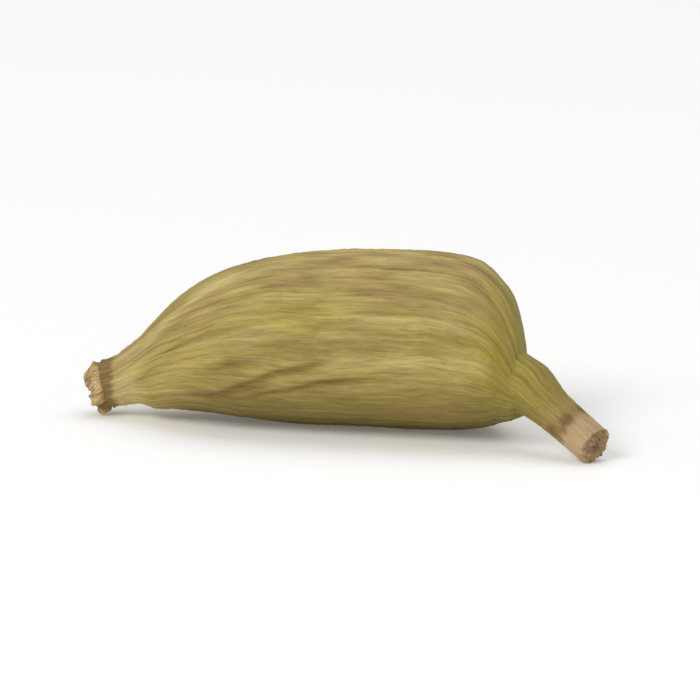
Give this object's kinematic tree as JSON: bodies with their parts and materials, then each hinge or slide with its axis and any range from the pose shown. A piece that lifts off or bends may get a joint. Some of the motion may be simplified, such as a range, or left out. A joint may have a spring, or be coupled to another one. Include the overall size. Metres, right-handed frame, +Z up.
{
  "type": "green cardamom pod",
  "caption": "Dried green cardamom pod lying on its side: a three-cornered ribbed husk with a withered flower scar at its nose and a bent stalk at the other end.",
  "frame": {"origin": "the middle of the bounding box, on the surface that the pod lies on", "axes": "+X along the husk from the flower scar to the stalk, +Z up, -Y the side that the stalk bends to"},
  "size_m": [0.0196, 0.0076, 0.0062],
  "materials": {
    "dried_husk": "dry, satin to matte, ribbed along the pod, straw green going greener at the shoulder"
  },
  "bodies": {
    "root": {"cardamom_pod": "dried_husk"}
  },
  "joints": []
}
